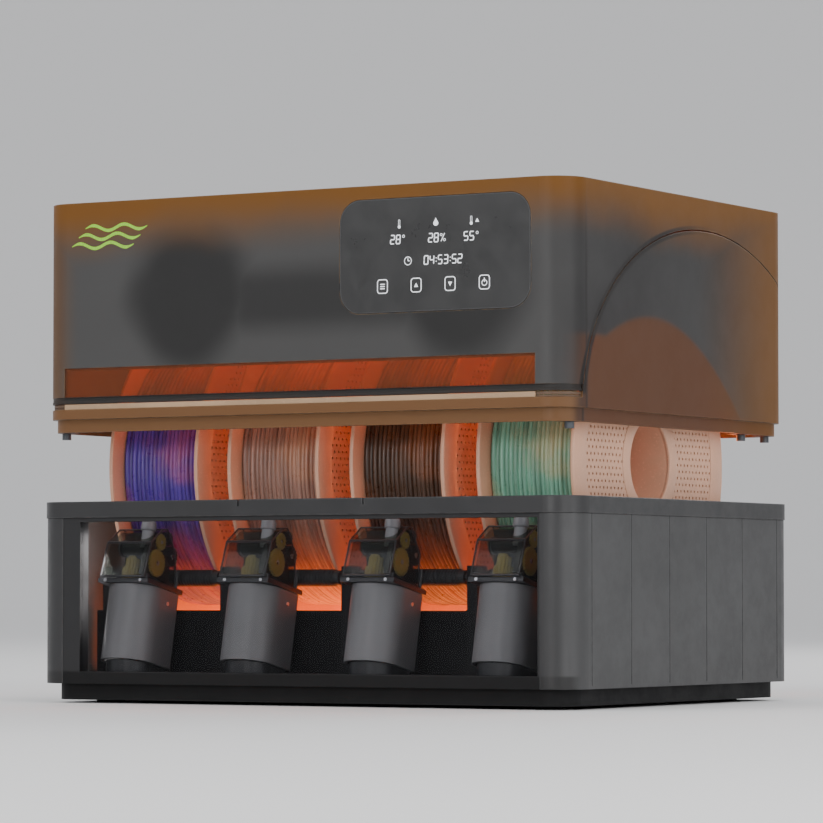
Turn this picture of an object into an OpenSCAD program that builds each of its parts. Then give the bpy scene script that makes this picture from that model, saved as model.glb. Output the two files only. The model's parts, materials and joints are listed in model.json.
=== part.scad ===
// Four-spool filament dryer box: a base with rollers and feeders, and a heater unit
// with a flip-up lid that lifts off the base. Millimetres, +Z up, front towards -Y.
// The origin is at the middle of the footprint, on the surface the feet stand on.

/* [Base] */
// Width of the base over its rim
base_w = 380; // [376:1:386]
// Depth of the base over its rim
base_d = 298; // [296:1:304]
// Height of the base from the floor to the top of its rim
base_h = 124; // [122:1:126]
// Radius of the vertical corners
corner_r = 20; // [18:1:21]

/* [Heater unit] */
// Width of the heater unit
unit_w = 374; // [372:1:375]
// Depth of the heater unit
unit_d = 294; // [293:1:295]
// Height of the heater unit
unit_h = 134; // [132:1:138]
// Height that the heater unit is stored at above its seat on the rim
lift = 51; // [30:1:80]

/* [Spools] */
// Distance from one spool to the next
bay_pitch = 88; // [86:1:90]
// Radius of a spool's flanges
spool_r = 98; // [96:1:98]
// Width of a spool over both flanges
spool_w = 66; // [60:1:67]
// Radius of the wound filament
wound_r = 86; // [60:1:90]
// Radius of the spool rollers
roller_r = 5.2; // [4.8:0.1:5.6]

/* [Feeders] */
// Angle that the feeders lean back
feeder_tilt = 12; // [10:1:13]
// Width of a feeder's hood
hood_w = 35; // [33:1:37]
// Depth of a feeder's hood
hood_d = 36; // [34:1:37]
// Length of a feeder's hood along its own axis
hood_h = 47; // [44:1:48]

/* [Display] */
// Width of the touch panel
panel_w = 130; // [120:1:132]
// Height of the touch panel
panel_h = 68; // [62:1:70]

/* [Hidden] */
$fn = 96;
bays = 4;
eps = 0.01;

// Base
wall = 3;                             // thickness of the base walls
shell_inset = 0.7;                    // the rim stands proud of the walls by this
front_y = -base_d / 2;                // the front face of the base
foot_h = 2;                           // gap under the plinth
plinth_h = 10;
plinth_inset = 8;
plinth_wall = 3;
foot_r = 9;
foot_x = 155;
foot_y = 115;
foot_recess = 1.5;
shell_z = foot_h + plinth_h;          // bottom of the walls
rim_h = 10;
rim_t = 5;
rim_z = base_h - rim_h;               // bottom of the rim
floor_z = shell_z + wall;             // upper face of the base's floor
inner_w = base_w - 2 * shell_inset - 2 * wall;
inner_d = base_d - 2 * shell_inset - 2 * wall;
inner_r = corner_r - shell_inset - wall;
boss_x = base_w / 2 - corner_r;       // screws and their bosses stand in the corners
boss_y = base_d / 2 - corner_r;
boss_h = 12;
boss_r = 8;
plank_pitch = 49.5;                   // panel lines on the side walls
plank_y = front_y + 24;
plank_cut = 0.8;
screw_r = 1.6;
screw_head_r = 3.4;

// Front opening of the base and its frame
opening_x = [-168.4, 167.5];
opening_z = [shell_z, rim_z];
glass_x = [-155.7, 166];
glass_z = [19.5, 111.5];
frame_depth = 9;
glass_t = 2;

// Spools and rollers
bay_mid = 5;                          // the bays stand a little to the right of the middle
spool_y = front_y + 136;
spool_z = 146;
flange_t = 2.6;
hub_r = 42;
bore_r = 26;
roller_dy = 77;                       // rollers in front of and behind the spool's axis
spool_gap = 0.2;                      // running gap between flange and roller
roller_z = spool_z - sqrt(pow(spool_r + roller_r + spool_gap, 2) - pow(roller_dy, 2));
roller_len = 74;
stub_r = 2.5;
stub_fit = 0.05;                      // radial clearance of the stub shafts
bracket_t = 7;
tray_top = 57;
tray_wall_y = 75;                     // distance of the tray's walls from the spool axis
tray_t = 3;

// Feeders, in their own frame: x across, y back from the hood's front, z along its axis
feeder_dx = -7.5;                     // the feeder stands to the left of its spool's centre
hood_y = front_y + 7.5;
hood_z = 28;
hood_r = 16;
hood_wall = 2.2;
plate_t = 3;
cover_w = 33;
cover_t = 1.6;
gear_at = [-2, 10.5];                 // the feed gear's place on the feeder's plate
gear_r = 6;
gear_teeth = 16;
inlet_y = front_y + 35;
inlet_top = 113;
inlet_r = 4.7;
inlet_bore_r = 1.3;
inlet_len = 18;

// Heater unit. Its own heights are measured from unit_z, the bottom of its outer wall
unit_z = base_h + lift;
unit_wall = 2.5;
band_h = 6;                           // the frame's lowest band, which runs all round
skirt_h = 8;                          // skirt that drops inside the rim
skirt_gap = 0.5;                      // gap between the skirt and the rim
seam_gap = 0.8;
lid_z = 9.5;                          // bottom of the lid's front wall
arch_y = 29;                          // centre and half axes of the elliptical side seam
arch_a = 160;
arch_b = 114;
arch_end = unit_d / 2 - 12;           // where the seam drops to the hinge
hinge_y = unit_d / 2 - 3.5;
hinge_z = 72;
barrel_r = 3.5;
pin_r = 1.5;
pin_fit = 0.05;
barrel_x = [-173, -155, -100, 100, 155, 173];   // ends of the hinge's knuckles
lip_y = hinge_y - barrel_r - 0.5;     // rear face of the lip in front of the hinge
corner_y = unit_d / 2 - corner_r;
skirt_w = base_w - 2 * rim_t - 2 * skirt_gap;
skirt_d = base_d - 2 * rim_t - 2 * skirt_gap;
peg_x = unit_w / 2 - 9;
peg_y = [-131, 95, 129];
peg_r = 2.8;
peg_h = 4;
peg_fit = 0.3;
pad = [13, 14, 2.5];                   // ledges in the skirt that the pegs stand under
front_u = -unit_d / 2;                // front face of the heater unit
strip_x = [-168.5, 164];                // the clear strip low on the lid's front
strip_z = [13.6, 31.5];
panel_x = 96.5;
panel_z = 92;
panel_r = 14;
panel_t = 1.2;
blower_x = [-75, 116];                // centres of the two blowers
blower_z = 74;
blower_r = 40;
blower_y = front_u + 4;
blower_d = 26;
blower_wall = 1.5;
liner_y = front_u + 32;
liner_t = 1.6;
duct_x = (blower_x[0] + blower_x[1]) / 2;
duct_z = [50, 89];
duct_wall = 1.5;
inlet_socket_x = -115;
inlet_socket_z = 30;

function bay_x(i) = bay_mid + (i - (bays - 1) / 2) * bay_pitch;
function arch_z(y, grow = 0) = (arch_b + grow) * sqrt(1 - pow((y - arch_y) / (arch_a + grow), 2));

// ---- shared shapes ----

module rounded(w, d, r) {
    square([w - 2 * r, d], center = true);
    square([w, d - 2 * r], center = true);
    for (x = [-1, 1], y = [-1, 1])
        translate([x * (w / 2 - r), y * (d / 2 - r)]) circle(r);
}

module slab(w, d, h, r) {
    linear_extrude(h) rounded(w, d, r);
}

module tube(w, d, h, t, r) {
    linear_extrude(h) difference() {
        rounded(w, d, r);
        rounded(w - 2 * t, d - 2 * t, r - t);
    }
}

// Extrudes an outline drawn in (y, z) along x, from x0 to x1
module along_x(x0, x1) {
    translate([x0, 0, 0]) rotate([90, 0, 90]) linear_extrude(x1 - x0) children();
}

module rod_x(x0, x1, r) {
    translate([x0, 0, 0]) rotate([0, 90, 0]) cylinder(r = r, h = x1 - x0);
}

module block(x, y, z) {
    translate([x[0], y[0], z[0]]) cube([x[1] - x[0], y[1] - y[0], z[1] - z[0]]);
}

// ---- base ----

module foot_places() {
    for (x = [-1, 1], y = [-1, 1]) translate([x * foot_x, y * foot_y, 0]) children();
}

// Drawn for the rear corners, and mirrored to the front ones
module screw_places() {
    for (x = [-1, 1], front = [0, 1])
        mirror([0, front, 0]) translate([x * boss_x, boss_y, 0]) children();
}

// A corner boss with the web that joins it to the wall
module boss(h, gap = 0) {
    cylinder(r = boss_r + gap, h = h);
    translate([-boss_r / 2 - gap, 0, 0]) cube([boss_r + 2 * gap, corner_r + 1, h]);
}

// Black bottom pan: a plinth that is hollow from below, and the floor inside the walls
module base_pan() {
    w = base_w - 2 * plinth_inset;
    d = base_d - 2 * plinth_inset;
    r = corner_r - 4;
    color("#151515") difference() {
        union() {
            translate([0, 0, foot_h]) slab(w, d, plinth_h, r);
            translate([0, 0, shell_z - eps])
                slab(inner_w - 0.4, inner_d - 0.4, wall + eps, inner_r - 0.2);
        }
        translate([0, 0, foot_h - eps]) difference() {
            slab(w - 2 * plinth_wall, d - 2 * plinth_wall, plinth_h - 1, r - plinth_wall);
            screw_places() cylinder(r = screw_head_r + 2.5, h = plinth_h);
            foot_places() cylinder(r = foot_r + 2, h = plinth_h);
            for (x = [-2 : 2]) block([x * 60 - 1, x * 60 + 1], [-base_d, base_d], [0, plinth_h]);
        }
        foot_places() translate([0, 0, -eps]) cylinder(r = foot_r, h = foot_h + foot_recess + eps);
        // room for the window frame
        block([opening_x[0] - 1, opening_x[1] + 1], [-base_d, front_y + frame_depth + 1.2],
              [shell_z, shell_z + 10]);
        screw_places() {
            cylinder(r = screw_head_r + 0.2, h = foot_h + plinth_wall);
            cylinder(r = screw_r, h = base_h);
            translate([0, 0, shell_z]) boss(boss_h, 0.5);
        }
    }
}

module base_feet() {
    color("#0d0d0d") foot_places() cylinder(r = foot_r - 0.2, h = foot_h + foot_recess);
}

module base_screws() {
    color("silver") screw_places() {
        translate([0, 0, foot_h + plinth_wall - 2]) cylinder(r = screw_head_r, h = 2);
        translate([0, 0, foot_h + plinth_wall - 1]) cylinder(r = screw_r - 0.1, h = 15);
    }
}

// The four walls, with a screw boss in each corner
module base_shell() {
    w = base_w - 2 * shell_inset;
    d = base_d - 2 * shell_inset;
    color("#5a5b5d") difference() {
        union() {
            translate([0, 0, shell_z]) tube(w, d, rim_z - shell_z, wall, corner_r - shell_inset);
            intersection() {
                translate([0, 0, shell_z]) slab(w - 1, d - 1, boss_h, corner_r - shell_inset - 0.5);
                screw_places() translate([0, 0, shell_z]) boss(boss_h);
            }
        }
        block(opening_x, [front_y - 1, front_y + 17], [shell_z - 1, base_h]);
        for (side = [-1, 1], i = [0 : 5])
            translate([side * w / 2, plank_y + i * plank_pitch, shell_z + 2])
                translate([-plank_cut / 2, -plank_cut / 2, 0])
                    cube([plank_cut, plank_cut, rim_z - shell_z]);
        screw_places() cylinder(r = screw_r, h = shell_z + boss_h - 2);
        outlet_hole(7);
    }
}

module outlet_hole(r) {
    translate([0, base_d / 2 + 1, 34]) rotate([90, 0, 0]) cylinder(r = r, h = 22);
}

module outlet_fitting() {
    color("#1c1c1c") difference() {
        union() {
            translate([0, base_d / 2 - shell_inset, 34]) rotate([90, 0, 0]) cylinder(r = 7, h = 18);
            translate([0, base_d / 2 - shell_inset - wall, 34]) rotate([90, 0, 0])
                cylinder(r = 10, h = 3);
        }
        outlet_hole(2.05);
    }
}

// Drawn for the right side, and mirrored to the left one
module peg_places() {
    for (left = [0, 1], y = peg_y) mirror([left, 0, 0]) translate([peg_x, y, 0]) children();
}

module base_rim() {
    tab = [13.5, 18, 2];
    color("#3f4042") difference() {
        union() {
            translate([0, 0, rim_z]) tube(base_w, base_d, rim_h, rim_t, corner_r);
            intersection() {
                peg_places() {
                    translate([-5.5, -tab[1] / 2, rim_z]) cube(tab);
                    translate([0, 0, rim_z - 6]) cylinder(r = peg_r + 2, h = 7);
                }
                translate([0, 0, rim_z - 6])
                    slab(base_w - 2 * wall - 2, base_d - 2 * wall - 2, 10, corner_r - wall - 1);
            }
        }
        peg_places() cylinder(r = peg_r + peg_fit, h = base_h);
        // small ticks on the front edge, at the middle bays
        for (i = [1 : bays - 2])
            translate([bay_x(i) - 0.6, front_y - 1, base_h - 4]) cube([1.2, 2.2, 5]);
    }
}

module window_frame() {
    y = [front_y + 1, front_y + 1 + frame_depth];
    color("#111111") difference() {
        block(opening_x, y, opening_z);
        block(glass_x, [y[0] - 1, y[1] + 1], glass_z);
    }
}

module front_window() {
    color("#22262a55")
        block(glass_x, [front_y + 2.5, front_y + 2.5 + glass_t], glass_z);
}

// Black inner tray: floor, two long walls and the brackets that carry the rollers
module bay_tray() {
    inner_x = inner_w / 2 - 2.8;
    color("#161616") difference() {
        union() {
            block([-inner_x, inner_x], [spool_y - 93, spool_y + 95], [floor_z, floor_z + tray_t]);
            for (side = [-1, 1]) {
                block([-inner_x, inner_x],
                      [spool_y + side * tray_wall_y - tray_t / 2,
                       spool_y + side * tray_wall_y + tray_t / 2], [floor_z, tray_top]);
                for (i = [0 : bays])
                    block(bracket_span(i),
                          [spool_y + side * roller_dy - 6, spool_y + side * roller_dy + 6],
                          [floor_z, roller_z + 7]);
            }
        }
        for (side = [-1, 1])
            translate([0, spool_y + side * roller_dy, roller_z])
                rod_x(bay_x(0) - roller_len / 2 - 6, bay_x(bays - 1) + roller_len / 2 + 6,
                      stub_r + stub_fit);
    }
}

function bracket_span(i) =
    let (x = bay_x(i) - bay_pitch / 2) [x - bracket_t / 2, x + bracket_t / 2 - (i == bays ? 1 : 0)];

module roller(i, side) {
    color("#1b1b1b") translate([bay_x(i), spool_y + side * roller_dy, roller_z]) {
        rod_x(-roller_len / 2, roller_len / 2, roller_r);
        rod_x(-roller_len / 2 - 5.5, roller_len / 2 + 5.5, stub_r);
    }
}

// ---- spools ----

module spool(i) {
    color("#cfc6c2") translate([bay_x(i), spool_y, spool_z]) difference() {
        union() {
            for (side = [-1, 1])
                rod_x(side > 0 ? spool_w / 2 - flange_t : -spool_w / 2,
                      side > 0 ? spool_w / 2 : -spool_w / 2 + flange_t, spool_r);
            rod_x(-spool_w / 2 + 1, spool_w / 2 - 1, hub_r);
        }
        rod_x(-spool_w, spool_w, bore_r);
        // the hub is a hollow ring round the bore
        difference() {
            rod_x(-spool_w / 2 + flange_t, spool_w / 2 - flange_t, hub_r - 2);
            rod_x(-spool_w, spool_w, bore_r + 2);
        }
    }
}

FILAMENT_COLOURS = ["#3a3494", "#7d5f58", "#33200f", "#5d9a84"];

module filament(i) {
    half = spool_w / 2 - flange_t - 0.2;
    color(FILAMENT_COLOURS[i]) translate([bay_x(i), spool_y, spool_z]) difference() {
        rod_x(-half, half, wound_r);
        rod_x(-spool_w, spool_w, hub_r);
    }
}

// ---- feeders ----

// Outline of the hood seen along its axis, with its front at y = inset
module hood_outline(inset) {
    w = hood_w - 2 * inset;
    d = hood_d - 2 * inset;
    r = hood_r - inset;
    translate([0, inset]) {
        translate([-w / 2, r]) square([w, d - r]);
        translate([-w / 2 + r, 0]) square([w - 2 * r, d]);
        for (side = [-1, 1]) translate([side * (w / 2 - r), r]) circle(r);
    }
}

module feeder_frame(i) {
    translate([bay_x(i) + feeder_dx, hood_y, hood_z]) rotate([-feeder_tilt, 0, 0]) children();
}

module feeder_hood(i) {
    color("#6b6c6e") feeder_frame(i) linear_extrude(hood_h) difference() {
        hood_outline(0);
        hood_outline(hood_wall);
    }
}

// Side outline of the clear cover, in (y, z) from the front face of the base
COVER_OUTLINE = [[16, 78.2], [24, 99], [37, 107], [42, 107], [46, 100], [50.5, 91], [50.5, 71.2]];

module cover_side() {
    polygon([for (p = COVER_OUTLINE) [front_y + p[0], p[1]]]);
}

module inlet_axis(i) {
    translate([bay_x(i), inlet_y, inlet_top]) rotate([-feeder_tilt, 0, 0]) children();
}

module feeder_cover(i) {
    x = bay_x(i) + feeder_dx;
    color("#59606666") difference() {
        along_x(x - cover_w / 2, x + cover_w / 2) cover_side();
        along_x(x - cover_w / 2 + cover_t, x + cover_w / 2 - cover_t) {
            // moved down, the hollow opens the bottom and the foot of the rear wall
            for (move = [[0, 0], [-1.4, -4], [4, -4]])
                translate(move) offset(delta = -cover_t) cover_side();
        }
        inlet_axis(i) translate([0, 0, -inlet_len]) cylinder(r = inlet_r + 0.4, h = inlet_len + 5);
    }
}

module feeder_core(i) {
    x = bay_x(i) + feeder_dx;
    color("#1d1e20") difference() {
        union() {
            // pedestal on the floor, cut off where the hood begins
            difference() {
                translate([x, hood_y + 1, floor_z]) linear_extrude(hood_z)
                    hood_outline(hood_wall + 0.4);
                feeder_frame(i) translate([0, 0, -0.01]) linear_extrude(hood_h + 2) hood_outline(-6);
            }
            // column through the hood, base plate, gearbox and side plate
            feeder_frame(i) {
                translate([0, hood_d / 2, -6]) cylinder(r = 6, h = hood_h + 8);
                translate([-hood_w / 2 - 1, -1, hood_h + 0.2]) cube([hood_w + 2, 39.5, plate_t]);
            }
            along_x(x - 13, x + 13) intersection() {
                offset(delta = -cover_t - 0.5) cover_side();
                translate([front_y + 38, 60]) square([20, 60]);
            }
            along_x(x + 10, x + 13) offset(delta = -cover_t - 0.6) cover_side();
            feeder_frame(i) translate([10, 25, hood_h + plate_t - 1]) cube([3, 12, 4]);
            feeder_frame(i) translate([-13, 25, hood_h + plate_t - 1]) cube([26, 8, 5]);
        }
        inlet_axis(i) translate([0, 0, -inlet_len - 4])
            cylinder(r = inlet_r + 0.4, h = inlet_len + 9);
        inlet_axis(i) translate([0, 0, -95]) cylinder(r = inlet_bore_r, h = 95);
        feeder_frame(i) translate([gear_at[0], gear_at[1], hood_h - 1]) cylinder(r = 2.05, h = 6);
    }
}

// Outline of a spur gear
module gear_outline(teeth, r, depth) {
    polygon([for (k = [0 : 4 * teeth - 1])
        let (a = 360 * (k + 0.5) / (4 * teeth), rr = (floor(k / 2) % 2 == 0) ? r : r - depth)
        rr * [cos(a), sin(a)]]);
}

module feed_gear(i) {
    color("#8a7430") feeder_frame(i) translate([gear_at[0], gear_at[1], hood_h + plate_t + 0.4]) {
        linear_extrude(8) gear_outline(gear_teeth, gear_r, 1.1);
        linear_extrude(14) gear_outline(gear_teeth - 5, gear_r - 1.6, 1);
        translate([0, 0, -2.5]) cylinder(r = 2, h = 18);
    }
}

module inlet_button(i) {
    color("#85888b") inlet_axis(i) difference() {
        union() {
            translate([0, 0, -7]) cylinder(r = inlet_r, h = 7);
            translate([0, 0, -inlet_len]) cylinder(r = inlet_r - 1, h = inlet_len);
        }
        translate([0, 0, -30]) cylinder(r = inlet_bore_r, h = 40);
        translate([0, 0, -1.5]) cylinder(r1 = inlet_bore_r, r2 = 3, h = 1.6);
    }
}

// ---- heater unit: the frame that sits on the base ----

// What the frame keeps of the unit's walls, seen from the side
module frame_side() {
    half = unit_d / 2;
    polygon(concat(
        [[-half - 1, 0], [-half - 1, band_h], [arch_y - arch_a, band_h]],
        [for (a = [3 : 4 : 180]) let (y = arch_y - arch_a * cos(a), z = arch_b * sin(a))
            if (z > band_h && y < arch_end) [y, z]],
        [[arch_end, arch_z(arch_end)], [arch_end, hinge_z - 4.2], [half + 1, hinge_z - 4.2], [half + 1, 0]]
    ));
}

module heater_frame() {
    color("#8a6a45") translate([0, 0, unit_z]) difference() {
        union() {
            intersection() {
                tube(unit_w, unit_d, unit_h, unit_wall, corner_r);
                along_x(-unit_w, unit_w) frame_side();
            }
            tube(unit_w - 1, unit_d - 1, band_h / 2, unit_wall + 3, corner_r - 0.5);
            translate([0, 0, -skirt_h])
                tube(skirt_w, skirt_d, skirt_h + eps, unit_wall, corner_r - unit_wall);
            peg_pads();
            hinge_knuckles(1);
            rear_lip();
        }
        translate([0, hinge_y, hinge_z]) rod_x(-unit_w, unit_w, pin_r);
        translate([inlet_socket_x, 0, inlet_socket_z])
            block([-15, 15], [unit_d / 2 - 20, unit_d], [-11, 11]);
    }
}

module peg_pads() {
    intersection() {
        peg_places() translate([-pad[0] / 2, -pad[1] / 2, -skirt_h]) cube(pad);
        translate([0, 0, -skirt_h]) slab(skirt_w - 1, skirt_d - 1, 10, corner_r - unit_wall);
    }
}

// Ledge and lip behind the rear seam, which close the gap round the hinge
module rear_lip() {
    lip_z = [hinge_z - 12, hinge_z + 8];
    translate([0, 0, lip_z[0]]) intersection() {
        union() {
            tube(unit_w - 2 * unit_wall - 1, unit_d - 2 * unit_wall - 1, lip_z[1] - lip_z[0], 2,
                 corner_r - unit_wall);
            block([-unit_w / 2 + 12, unit_w / 2 - 12], [lip_y - 2, lip_y], [0, lip_z[1] - lip_z[0]]);
        }
        block([-unit_w, unit_w], [corner_y, lip_y], [0, 40]);
    }
    translate([0, 0, lip_z[0]]) intersection() {
        slab(unit_w - 1, unit_d - 1, 3, corner_r - 0.5);
        block([-unit_w, unit_w], [lip_y - 2, unit_d], [0, 3]);
    }
    intersection() {
        translate([0, 0, lip_z[0]])
            tube(unit_w - 2, unit_d - 2, hinge_z - 8 - lip_z[0], 3.5, corner_r - 1);
        block([-unit_w, unit_w], [corner_y, lip_y], [0, hinge_z]);
    }
}

// The frame has knuckles 1 and 3 of the hinge's five, and the lid has 0, 2 and 4
module hinge_knuckles(first) {
    for (k = [first : 2 : 4]) {
        x = [barrel_x[k] + 0.3, barrel_x[k + 1] - 0.3];
        translate([0, hinge_y, hinge_z]) rod_x(x[0], x[1], barrel_r);
        block(x, [unit_d / 2 - unit_wall, unit_d / 2],
              first == 1 ? [hinge_z - 6, hinge_z] : [hinge_z, hinge_z + 6]);
    }
}

module locating_pegs() {
    color("#3c4046") translate([0, 0, unit_z - skirt_h]) peg_places()
        translate([0, 0, -peg_h]) cylinder(r = peg_r, h = peg_h);
}

module frame_seal() {
    color("#d8b49c") translate([0, 0, unit_z])
        block([strip_x[0], strip_x[1]], [front_u + 0.3, front_u + unit_wall + 0.5],
              [band_h, lid_z - 0.3]);
}

module hinge_pin() {
    color("silver") translate([0, hinge_y, unit_z + hinge_z])
        rod_x(barrel_x[0], barrel_x[5], pin_r);
}

module power_inlet() {
    color("#141414") translate([inlet_socket_x, 0, unit_z + inlet_socket_z]) {
        difference() {
            block([-15, 15], [unit_d / 2 - 20, unit_d / 2], [-11, 11]);
            block([-12, 12], [unit_d / 2 - 17, unit_d / 2 + 1], [-8, 8]);
        }
        for (x = [-7, 0, 7])
            block([x - 1, x + 1], [unit_d / 2 - 18, unit_d / 2 - 5], [-2.5 + (x == 0 ? 3 : 0),
                                                                      2.5 + (x == 0 ? 3 : 0)]);
    }
}

// ---- heater unit: the flip-up lid ----

// What the lid leaves to the frame, seen from the side
module lid_cut_side() {
    half = unit_d / 2;
    y_back = arch_end + seam_gap;
    polygon(concat(
        [[-half - 1, -20], [-half - 1, lid_z], [arch_y - arch_a - seam_gap, lid_z]],
        [for (a = [3 : 4 : 180])
            let (y = arch_y - (arch_a + seam_gap) * cos(a), z = (arch_b + seam_gap) * sin(a))
            if (z > lid_z && y < y_back) [y, z]],
        [[y_back, arch_z(y_back, seam_gap)], [y_back, hinge_z + 4.3], [half + 1, hinge_z + 4.3],
         [half + 1, -20]]
    ));
}

module lid_shell() {
    color("#6f6f70aa") translate([0, 0, unit_z]) difference() {
        union() {
            difference() {
                slab(unit_w, unit_d, unit_h, corner_r);
                translate([0, 0, -1])
                    slab(unit_w - 2 * unit_wall, unit_d - 2 * unit_wall, unit_h - unit_wall + 1,
                         corner_r - unit_wall);
                along_x(-unit_w, unit_w) lid_cut_side();
            }
            hinge_knuckles(0);
        }
        translate([0, hinge_y, hinge_z]) rod_x(-unit_w, unit_w, pin_r + pin_fit);
        // shadow groove round the foot of the front wall
        intersection() {
            translate([0, 0, 11]) tube(unit_w + 4, unit_d + 4, 2.4, 3, corner_r);
            block([-unit_w, unit_w], [-unit_d, front_u + corner_r - 2], [0, 30]);
        }
        block(strip_x, [front_u - 1, front_u + 6], strip_z);
        translate([panel_x, front_u, panel_z]) rotate([90, 0, 0]) translate([0, 0, -panel_t])
            linear_extrude(5) rounded(panel_w, panel_h, panel_r);
    }
}

module lid_window() {
    color("#c8794466") translate([0, 0, unit_z])
        block(strip_x, [front_u + 0.5, front_u + unit_wall], strip_z);
}

module touch_panel() {
    color("#202225") translate([panel_x, front_u + panel_t, unit_z + panel_z])
        rotate([90, 0, 0]) linear_extrude(panel_t) rounded(panel_w - 0.4, panel_h - 0.4, panel_r - 0.2);
}

module control_board() {
    color("#1f5a38") translate([panel_x, front_u + unit_wall + 1.4, unit_z + panel_z])
        rotate([90, 0, 0]) linear_extrude(1.2) rounded(panel_w - 14, panel_h - 14, 4);
}

// Inner panel behind the blowers, with a shelf that closes the air space below them
module lid_liner() {
    half = unit_w / 2 - unit_wall - 2;
    color("#77787a") translate([0, 0, unit_z]) difference() {
        union() {
            block([-half, half], [liner_y, liner_y + liner_t], [strip_z[1] + 0.5, unit_h - unit_wall]);
            block([-half, half], [front_u + unit_wall + 3, liner_y + 1],
                  [strip_z[1] + 0.5, strip_z[1] + 2]);
        }
        for (x = blower_x, k = [-2 : 2])
            block([x + k * 8 - 2.5, x + k * 8 + 2.5], [front_u + 9, front_u + 25],
                  [strip_z[1], strip_z[1] + 3]);
        for (x = blower_x)
            translate([x, liner_y - 1, blower_z]) rotate([-90, 0, 0]) cylinder(r = 20, h = 5);
        corner_relief();
    }
}

// Clears the liner's front corners out of the lid's rounded corners
module corner_relief() {
    for (side = [-1, 1])
        translate([side * (unit_w / 2 - 12), front_u + 6, strip_z[1] - 1])
            block([-11, 11], [-5, 8], [0, 5]);
}

module blower_outline() {
    circle(blower_r);
    translate([0, -blower_r / 2]) square([blower_r * 1.1, blower_r], center = true);
}

module blower_places() {
    for (x = blower_x)
        translate([x, blower_y, unit_z + blower_z]) rotate([-90, 0, 0])
            mirror([0, 1, 0]) children();
}

module blower_housings() {
    color("#2b2c2e") blower_places() difference() {
        linear_extrude(blower_d) blower_outline();
        translate([0, 0, blower_wall]) cylinder(r = blower_r - 3, h = blower_d - 2 * blower_wall);
        translate([0, 0, blower_d / 2]) cylinder(r = 24, h = blower_d);
        translate([-blower_r / 2, -blower_r - 5, blower_wall])
            cube([blower_r, blower_r, blower_d - 2 * blower_wall]);
        cylinder(r = 2.05, h = 10, center = true);
    }
}

module impeller(x) {
    blades = 15;
    color("#3a3c40") translate([x, blower_y, unit_z + blower_z])
        rotate([-90, 0, 0]) {
            translate([0, 0, 3]) cylinder(r = 33, h = 1.5);
            translate([0, 0, 19]) difference() {
                cylinder(r = 33, h = 1.5);
                cylinder(r = 24, h = 6, center = true);
            }
            for (k = [0 : blades - 1]) rotate(360 * k / blades)
                translate([26, -0.6, 4]) cube([6, 1.2, 16]);
            cylinder(r = 2, h = 4);
            translate([0, 0, 3]) cylinder(r = 12, h = 14);
        }
}

// Hollow duct between the two blowers, with the finned heater in it
module air_duct() {
    half = (blower_x[1] - blower_x[0]) / 2 - blower_r - 1;
    color("#2b2c2e") translate([duct_x, 0, unit_z]) difference() {
        block([-half, half], [front_u + 6, front_u + 28], duct_z);
        block([-half - 1, half + 1], [front_u + 6 + duct_wall, front_u + 28 - duct_wall],
              [duct_z[0] + duct_wall, duct_z[1] - duct_wall]);
    }
}

module heater_core() {
    fins = 21;
    color("#b87333") translate([duct_x, 0, unit_z]) {
        for (k = [0 : fins - 1])
            translate([(k - (fins - 1) / 2) * 4, front_u + 17, (duct_z[0] + duct_z[1]) / 2])
                cube([1, 17, 34], center = true);
        for (z = [-8, 8])
            translate([0, front_u + 17, (duct_z[0] + duct_z[1]) / 2 + z])
                cube([84, 6, 3], center = true);
    }
}

// ---- assembly ----

base_pan();
base_feet();
base_shell();
base_rim();
window_frame();
front_window();
bay_tray();
outlet_fitting();
base_screws();
for (i = [0 : bays - 1]) {
    spool(i);
    filament(i);
    roller(i, -1);
    roller(i, 1);
    feeder_hood(i);
    feeder_cover(i);
    feeder_core(i);
    feed_gear(i);
    inlet_button(i);
}
heater_frame();
frame_seal();
locating_pegs();
hinge_pin();
power_inlet();
lid_shell();
lid_window();
lid_liner();
touch_panel();
control_board();
blower_housings();
impeller(blower_x[0]);  // impeller_left
impeller(blower_x[1]);  // impeller_right
air_duct();
heater_core();
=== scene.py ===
"""Looks of the four-spool filament dryer box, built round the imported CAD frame.

Metres, +Z up, front at -Y. Numbers times MM are millimetres on the real object.
"""

import json
import math

import bpy
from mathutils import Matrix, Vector


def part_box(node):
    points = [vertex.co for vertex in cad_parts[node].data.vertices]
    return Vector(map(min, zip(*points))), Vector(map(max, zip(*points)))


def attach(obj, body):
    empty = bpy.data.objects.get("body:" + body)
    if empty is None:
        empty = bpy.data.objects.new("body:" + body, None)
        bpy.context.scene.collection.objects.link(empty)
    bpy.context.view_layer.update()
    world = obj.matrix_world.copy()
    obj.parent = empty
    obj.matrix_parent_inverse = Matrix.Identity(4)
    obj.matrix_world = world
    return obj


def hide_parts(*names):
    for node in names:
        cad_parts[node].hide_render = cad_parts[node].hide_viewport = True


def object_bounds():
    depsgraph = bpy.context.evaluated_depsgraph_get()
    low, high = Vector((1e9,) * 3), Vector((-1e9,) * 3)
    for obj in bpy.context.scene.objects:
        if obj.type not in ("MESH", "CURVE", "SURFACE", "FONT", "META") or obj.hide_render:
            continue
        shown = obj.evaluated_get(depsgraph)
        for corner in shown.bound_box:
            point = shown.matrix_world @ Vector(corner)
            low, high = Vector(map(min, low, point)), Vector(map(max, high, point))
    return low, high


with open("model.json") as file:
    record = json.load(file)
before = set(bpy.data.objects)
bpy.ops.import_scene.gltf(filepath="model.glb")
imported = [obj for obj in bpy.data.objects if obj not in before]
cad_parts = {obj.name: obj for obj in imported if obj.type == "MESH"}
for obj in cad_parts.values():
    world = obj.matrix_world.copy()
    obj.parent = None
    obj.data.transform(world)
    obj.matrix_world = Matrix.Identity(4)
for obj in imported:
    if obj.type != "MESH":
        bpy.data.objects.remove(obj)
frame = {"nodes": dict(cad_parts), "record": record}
cad_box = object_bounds()
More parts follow.
